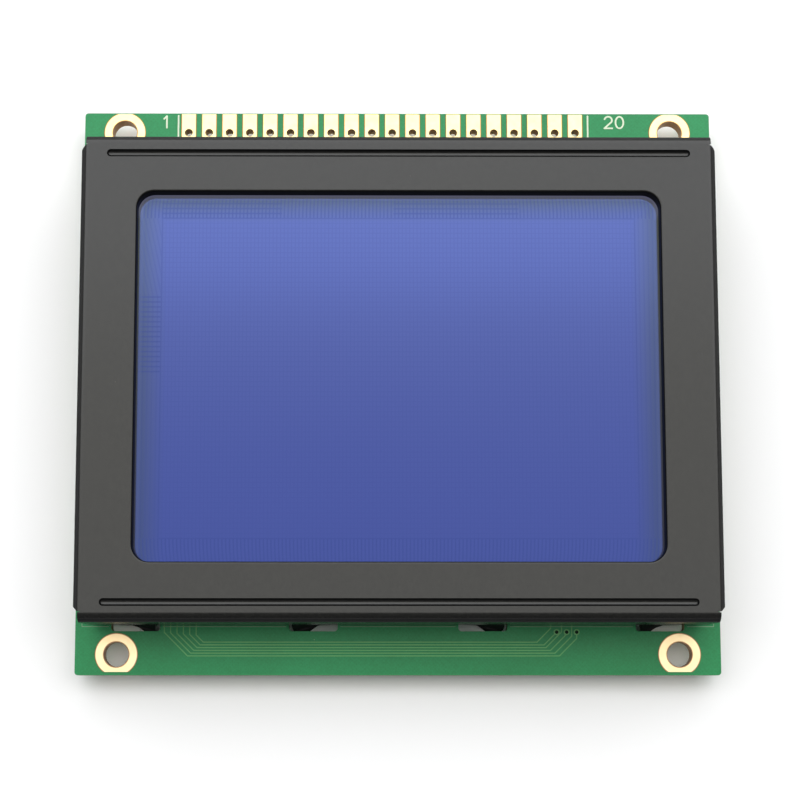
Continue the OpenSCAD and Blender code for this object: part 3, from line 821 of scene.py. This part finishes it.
def makeVias(places, side):  # one via is modelled and copied to the other places
    first = makeVia(*places[0], side)
    copies = []
    for x, y in places[1:]:
        pick([first])
        bpy.ops.object.duplicate()
        bpy.context.object.location.xy = (x * mm, y * mm)
        copies.append(bpy.context.object)
    return joined([first] + copies)


viaHoleShadeFinish = makeViaFinish()
frontVias = makeVias([(x, tracks["viaY"]) for x in tracks["endX"][1::2]], 1)
settle(frontVias, "board_vias")
print("vias made")

legend = {
    "white": srgb(226, 237, 212),
    "cream": srgb(212, 224, 196),
    # painted shade: the frame's ink is darker and greener, as if it lay in the bezel's shade
    "paintedShadeInk": srgb(138, 172, 138),
    "paintedShadeInkDeep": srgb(116, 154, 120),
    "mottleSize": 0.5,
    "roughness": (0.55, 0.3, 0.1),
    "height": 0.03,
    "lineWidth": 0.2,
    "padEnds": (-27.35, 23.8),
    "padLine": (34.7, 30.3),
    "frameWidth": 0.08,
    "frame": (38.2, 29.14),
    "slots": (10.25, 31.7),
    "slotHalf": 3.3,
    "digitHeight": 1.5,
    "digitWidth": 0.98,
    "digitTop": 34.65,
    "digitStroke": 0.21,
    "digitStep": 1.4,
    "labels": {"1": -29.25, "20": 25.9},
}


def makeLegendFinish(name, ink, shade):
    f = Finish(name)
    return f.set(baseColor=f.mottled(legend["mottleSize"], ink, shade),
                 roughness=f.uneven(*legend["roughness"]))


def framePaths():  # a rectangle around the bezel, left open at the tabs' slots
    frameX, frameY = legend["frame"]
    stops = [-frameX]
    for middle in sorted(sign * x for x in legend["slots"] for sign in (-1, 1)):
        stops += [middle - legend["slotHalf"], middle + legend["slotHalf"]]
    stops.append(frameX)
    pairs = list(zip(stops[::2], stops[1::2]))
    paths = []
    for side in (-1, 1):
        y = side * frameY
        paths += [[(a, y), (b, y)] for a, b in pairs]
        paths.append([(side * frameX, -frameY), (side * frameX, frameY)])
    return paths


def arc(centre, radii, start, end, count=12):  # points along an ellipse, angles in degrees
    angles = [math.radians(start + (end - start) * i / count) for i in range(count + 1)]
    return [(centre[0] + radii[0] * math.cos(a), centre[1] + radii[1] * math.sin(a)) for a in angles]


figures = {  # single strokes, as a plotter draws them, in a cell of 1 by 1
    "0": [arc((0.5, 0.5), (0.5, 0.5), start, start + 180) for start in (90, 270)],
    "1": [[(0.1, 0.76), (0.45, 1)], [(0.45, 1), (0.45, 0)]],
    "2": [arc((0.5, 0.7), (0.48, 0.3), 165, -35) + [(0, 0)], [(0, 0), (1, 0)]],
}


def figurePaths(mirrored=False):  # the first and the last pin's number
    wide, tall, step = legend["digitWidth"], legend["digitHeight"], legend["digitStep"]
    bottom = legend["digitTop"] - tall
    paths = []
    for label, at in legend["labels"].items():
        across = wide + step * (len(label) - 1)
        for i, digit in enumerate(label):
            for path in figures[digit]:
                places = [(x * wide + i * step, y * tall + bottom) for x, y in path]
                paths.append([(at + (across - x if mirrored else x), y) for x, y in places])
    return paths


legendFinish = makeLegendFinish("legendInk", legend["white"], legend["cream"])
# painted shade: the frame around the bezel takes the darker ink
paintedShadeInkFinish = makeLegendFinish("shadedFrameInk", legend["paintedShadeInk"], legend["paintedShadeInkDeep"])
padLines = [[(x, y) for y in legend["padLine"]] for x in legend["padEnds"]]
legendFrame = drawn(framePaths(), legend["frameWidth"], legend["height"])
settle(legendFrame, "legend_frame", paintedShadeInkFinish)
legendMarks = drawn(padLines, legend["lineWidth"], legend["height"])
settle(legendMarks, "legend_marks", legendFinish)
legendFigures = drawn(figurePaths(), legend["digitStroke"], legend["height"])
settle(legendFigures, "legend_figures", legendFinish)
print("legend printed")

backTracks = {
    "width": 0.18,
    "height": 0.03,
    "fanCount": 28,
    "fanStart": 7.2,
    "fanEnds": (9.3, 10.4),  # neighbours end at these two lengths in turn
    "pinTop": 30.6,
    "pinEnds": (25.2, 24.0),
    "slotClear": 3.4,
    "legPitch": 1.27,
    "legOverlap": 0.3,
    "amplifierLegs": 7,
    "amplifierEnds": (5.4, 4.2),
    "converterLegs": 4,
    "converterDrop": 1.3,
    "chipPitch": 3.0,
    "chipOverlap": 0.2,
    "chipStub": 1.2,
    "resistors": 9,
    "capacitors": 6,
    "busCount": 4,
    "busPitch": 0.5,
    "busHalf": 24.0,
    "busStep": 1.0,
    "busRise": 4.2,
    "busCorner": 1.0,
}


def fanPaths(node):  # tracks that leave a driver's resin dome on all sides
    b = backTracks
    x, y = middleOf(node)
    paths = []
    for i in range(b["fanCount"]):
        turn = 2 * math.pi * (i + 0.5) / b["fanCount"]
        reaches = (b["fanStart"], b["fanEnds"][i % 2])
        paths.append([(x + reach * math.cos(turn), y + reach * math.sin(turn)) for reach in reaches])
    return paths


def pinPaths():  # tracks that go down from the pins, where no slot is in their way
    b, pads = backTracks, goldPlating
    columns = [pads["firstPad"] + i * pads["padPitch"] for i in range(pads["padCount"])]
    free = [x for x in columns if all(abs(abs(x) - slot) > b["slotClear"] for slot in legend["slots"])]
    return [[(x, b["pinTop"]), (x, b["pinEnds"][i % 2])] for i, x in enumerate(free)]


def columnsOf(node, count, pitch):  # places along a row that is centred on a node
    return [middleOf(node)[0] + (i - (count - 1) / 2) * pitch for i in range(count)]


def legPaths(node, count, ends):  # tracks from the lower legs of a chip
    b = backTracks
    top = spanOf(node)[0][1] + b["legOverlap"]
    return [[(x, top), (x, ends[i % 2])] for i, x in enumerate(columnsOf(node, count, b["legPitch"]))]


def chipPaths(node, count, side):  # short tracks from the upper or lower end of each chip in a row
    b = backTracks
    low, high = spanOf(node)
    edge = high[1] if side > 0 else low[1]
    start, end = edge - side * b["chipOverlap"], edge + side * b["chipStub"]
    return [[(x, start), (x, end)] for x in columnsOf(node, count, b["chipPitch"])]


def busPaths(top):  # long tracks below the row of resistors, bent up at both ends
    b = backTracks
    corner = b["busCorner"]
    paths = []
    for i in range(b["busCount"]):
        half, y = b["busHalf"] + i * b["busStep"], top - i * b["busPitch"]
        rightHalf = [(half - corner, y), (half, y + corner), (half, y + b["busRise"])]
        paths.append([(-x, level) for x, level in rightHalf[::-1]] + rightHalf)
    return paths


drivers = ("segment_driver_left", "segment_driver_right", "common_driver")
converterEnd = spanOf("converter_legs")[0][1] - backTracks["converterDrop"]
endInVias = [path for node in drivers for path in fanPaths(node)] + pinPaths()
endInVias += legPaths("amplifier_legs", backTracks["amplifierLegs"], backTracks["amplifierEnds"])
endInVias += legPaths("converter_legs", backTracks["converterLegs"], (converterEnd, converterEnd))
endInVias += chipPaths("chip_resistors", backTracks["resistors"], 1)
for side in (1, -1):
    endInVias += chipPaths("chip_capacitors", backTracks["capacitors"], side)
resistorStubs = chipPaths("chip_resistors", backTracks["resistors"], -1)
buses = busPaths(resistorStubs[0][1][1])
backPaths = endInVias + resistorStubs + buses
backPiece = drawn(backPaths, backTracks["width"], backTracks["height"], boardBack, -1)
settle(backPiece, "back_tracks", trackFinish)
viaPlaces = [path[-1] for path in endInVias] + [end for path in buses for end in (path[0], path[-1])]
settle(makeVias(viaPlaces, -1), "back_vias")
print("back tracks drawn,", len(viaPlaces), "vias")

backLegend = {
    "lineWidth": 0.2,
    "height": 0.05,
    "margin": 0.55,
    "ringRadius": 8.3,
    "ringSides": 30,  # of each half ring
    "boxed": ("amplifier_legs", "converter_legs", "chip_resistors", "chip_capacitors"),
}


def boxPaths(node):  # four lines around a chip or a row of chips
    low, high = spanOf(node)
    west, south = [value - backLegend["margin"] for value in low[:2]]
    east, north = [value + backLegend["margin"] for value in high[:2]]
    corners = [(west, south), (east, south), (east, north), (west, north), (west, south)]
    return [[a, b] for a, b in zip(corners, corners[1:])]


def ringPaths(node):  # two half circles around a resin dome
    radii = (backLegend["ringRadius"], backLegend["ringRadius"])
    return [arc(middleOf(node), radii, start, start + 180, backLegend["ringSides"]) for start in (90, 270)]


backLines = [path for node in drivers for path in ringPaths(node)]
backLines += [path for node in backLegend["boxed"] for path in boxPaths(node)]
backMarks = drawn(backLines, backLegend["lineWidth"], backLegend["height"], boardBack, -1)
settle(backMarks, "back_legend", legendFinish)
backFigures = drawn(figurePaths(True), legend["digitStroke"], legend["height"], boardBack, -1)
settle(backFigures, "back_figures", legendFinish)
print("back legend printed")


# Studio

studio = {
    "floorSize": 30.0,
    "floorWhite": srgb(250, 250, 251),
    "floorShade": srgb(247, 247, 248),
    "cloudSize": 300.0,
    "roughness": (0.8, 5.0, 0.1),
    "shine": 0.1,
    "farGlow": (0.45, 0.45, 0.45, 1.0),  # keeps the floor pale beyond the lamps' reach
    "farStart": 500.0,
    "farFull": 3500.0,
    "panelHeight": 3.0,
    "horizonGlow": (0.8, 0.8, 0.8, 1),
    "horizonTop": 0.3,  # heights in the sky, 1 straight above
    "skyGlow": (0.15, 0.15, 0.15, 1),
    "skyStart": 0.45,
}
panels = {  # west, east, south and north edge in metres, its brightness in a mirror, and its colour
    "overheadPanel": (-4.3, 4.3, -0.3, 0.8, 1.8, (1.0, 0.99, 0.94)),
    "rearPanel": (-4.3, 4.3, 0.8, 6.4, 2.5, (0.99, 1.0, 1.01)),
}


def makeFloor():
    s = studio
    deselect()
    bpy.ops.mesh.primitive_plane_add(size=s["floorSize"], location=(0, 0, 0))
    floor = bpy.context.object
    floor.name = "floor"
    f = Finish("floorPaper")
    x, y = f.place()[:2]
    away = (x * x + y * y) ** 0.5
    far = ((away - s["farStart"]) / (s["farFull"] - s["farStart"])).clamped()
    f.fix("Specular IOR Level", s["shine"])
    f.fix("Emission Strength", 1.0)
    paper = f.set(baseColor=f.mottled(s["cloudSize"], s["floorWhite"], s["floorShade"]),
                  roughness=f.uneven(*s["roughness"]), emissionColor=f.blend(far, noLight, s["farGlow"]))
    floor.data.materials.append(paper)


def addPanel(name, west, east, south, north, glow, colour):
    deselect()
    middle = ((west + east) / 2, (south + north) / 2, studio["panelHeight"])
    bpy.ops.object.light_add(type="AREA", location=middle)
    panel = bpy.context.object
    panel.name = name
    panel.data.shape = "RECTANGLE"
    panel.data.size, panel.data.size_y = east - west, north - south
    panel.data.energy = glow * math.pi * (east - west) * (north - south)
    panel.data.color = colour


def makeSky():
    s = studio
    world = bpy.data.worlds.new("studioSky")
    bpy.context.scene.world = world
    world.use_nodes = True
    f = Finish("studioSky", world.node_tree)
    direction = f.node("ShaderNodeTexCoord")  # the sky's own coordinates are directions
    height = f.node("ShaderNodeSeparateXYZ", inputs={0: direction}, out="Z")
    stops = [(0.0, s["horizonGlow"]), (s["horizonTop"], s["horizonGlow"]), (s["skyStart"], s["skyGlow"])]
    glow = f.node("ShaderNodeValToRGB", {"stops": stops}, {0: height})
    f.feed(world.node_tree.nodes["Background"].inputs["Color"], glow)


makeFloor()
for name, place in panels.items():
    addPanel(name, *place)
makeSky()
print("studio lit")

camera = {
    "at": (-3.32, -37.26, 190.57),
    "tilt": 0.102,
    "roll": -0.004,
    "lens": 69.52,
    "sensor": 36.0,
    "shift": (0.029, 0.17),
    "nearest": 1.0,
    "farthest": 100000.0,
}
deselect()
bpy.ops.object.camera_add(location=[value * mm for value in camera["at"]],
                          rotation=(camera["tilt"], camera["roll"], 0))
eye = bpy.context.object
eye.data.lens = camera["lens"]
eye.data.sensor_width = camera["sensor"]
eye.data.shift_x, eye.data.shift_y = camera["shift"]
eye.data.clip_start, eye.data.clip_end = camera["nearest"] * mm, camera["farthest"] * mm
bpy.context.scene.camera = eye
bpy.context.scene.view_settings.view_transform = "Standard"
print("camera set")
